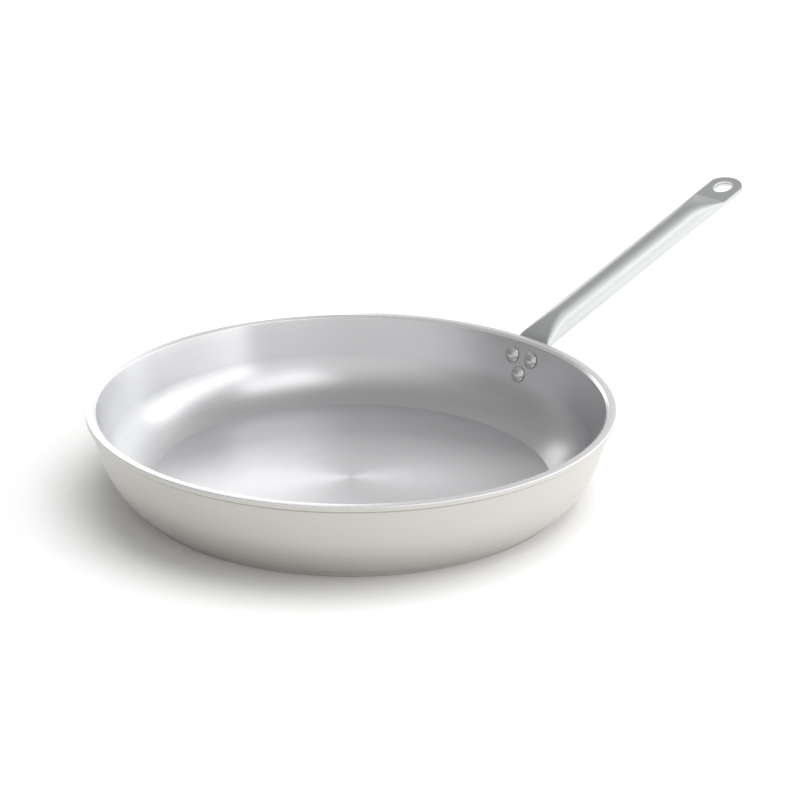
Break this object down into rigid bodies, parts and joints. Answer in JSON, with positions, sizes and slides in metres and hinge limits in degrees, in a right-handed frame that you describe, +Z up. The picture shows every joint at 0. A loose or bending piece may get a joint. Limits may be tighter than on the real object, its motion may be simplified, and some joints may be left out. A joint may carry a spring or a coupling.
{
  "type": "frying pan",
  "caption": "Round flared frying pan of thick aluminium with a turned lip, and a long stainless tube handle pressed flat at both ends and riveted to the wall.",
  "frame": {"origin": "centre of the base's underside, on the surface the pan stands on", "axes": "+X out along the handle, +Z up out of the pan"},
  "size_m": [0.5234, 0.32, 0.1232],
  "materials": {
    "pan_aluminium": "satin, finely turned inside and out, with a brighter machined rim",
    "handle_steel": "satin brushed stainless tube",
    "rivet_aluminium": "cold-formed domes, slightly darker than the pan"
  },
  "bodies": {
    "root": {"pan_body": "pan_aluminium", "handle": "handle_steel", "rivet_upper_left": "rivet_aluminium", "rivet_upper_right": "rivet_aluminium", "rivet_lower": "rivet_aluminium"}
  },
  "joints": []
}
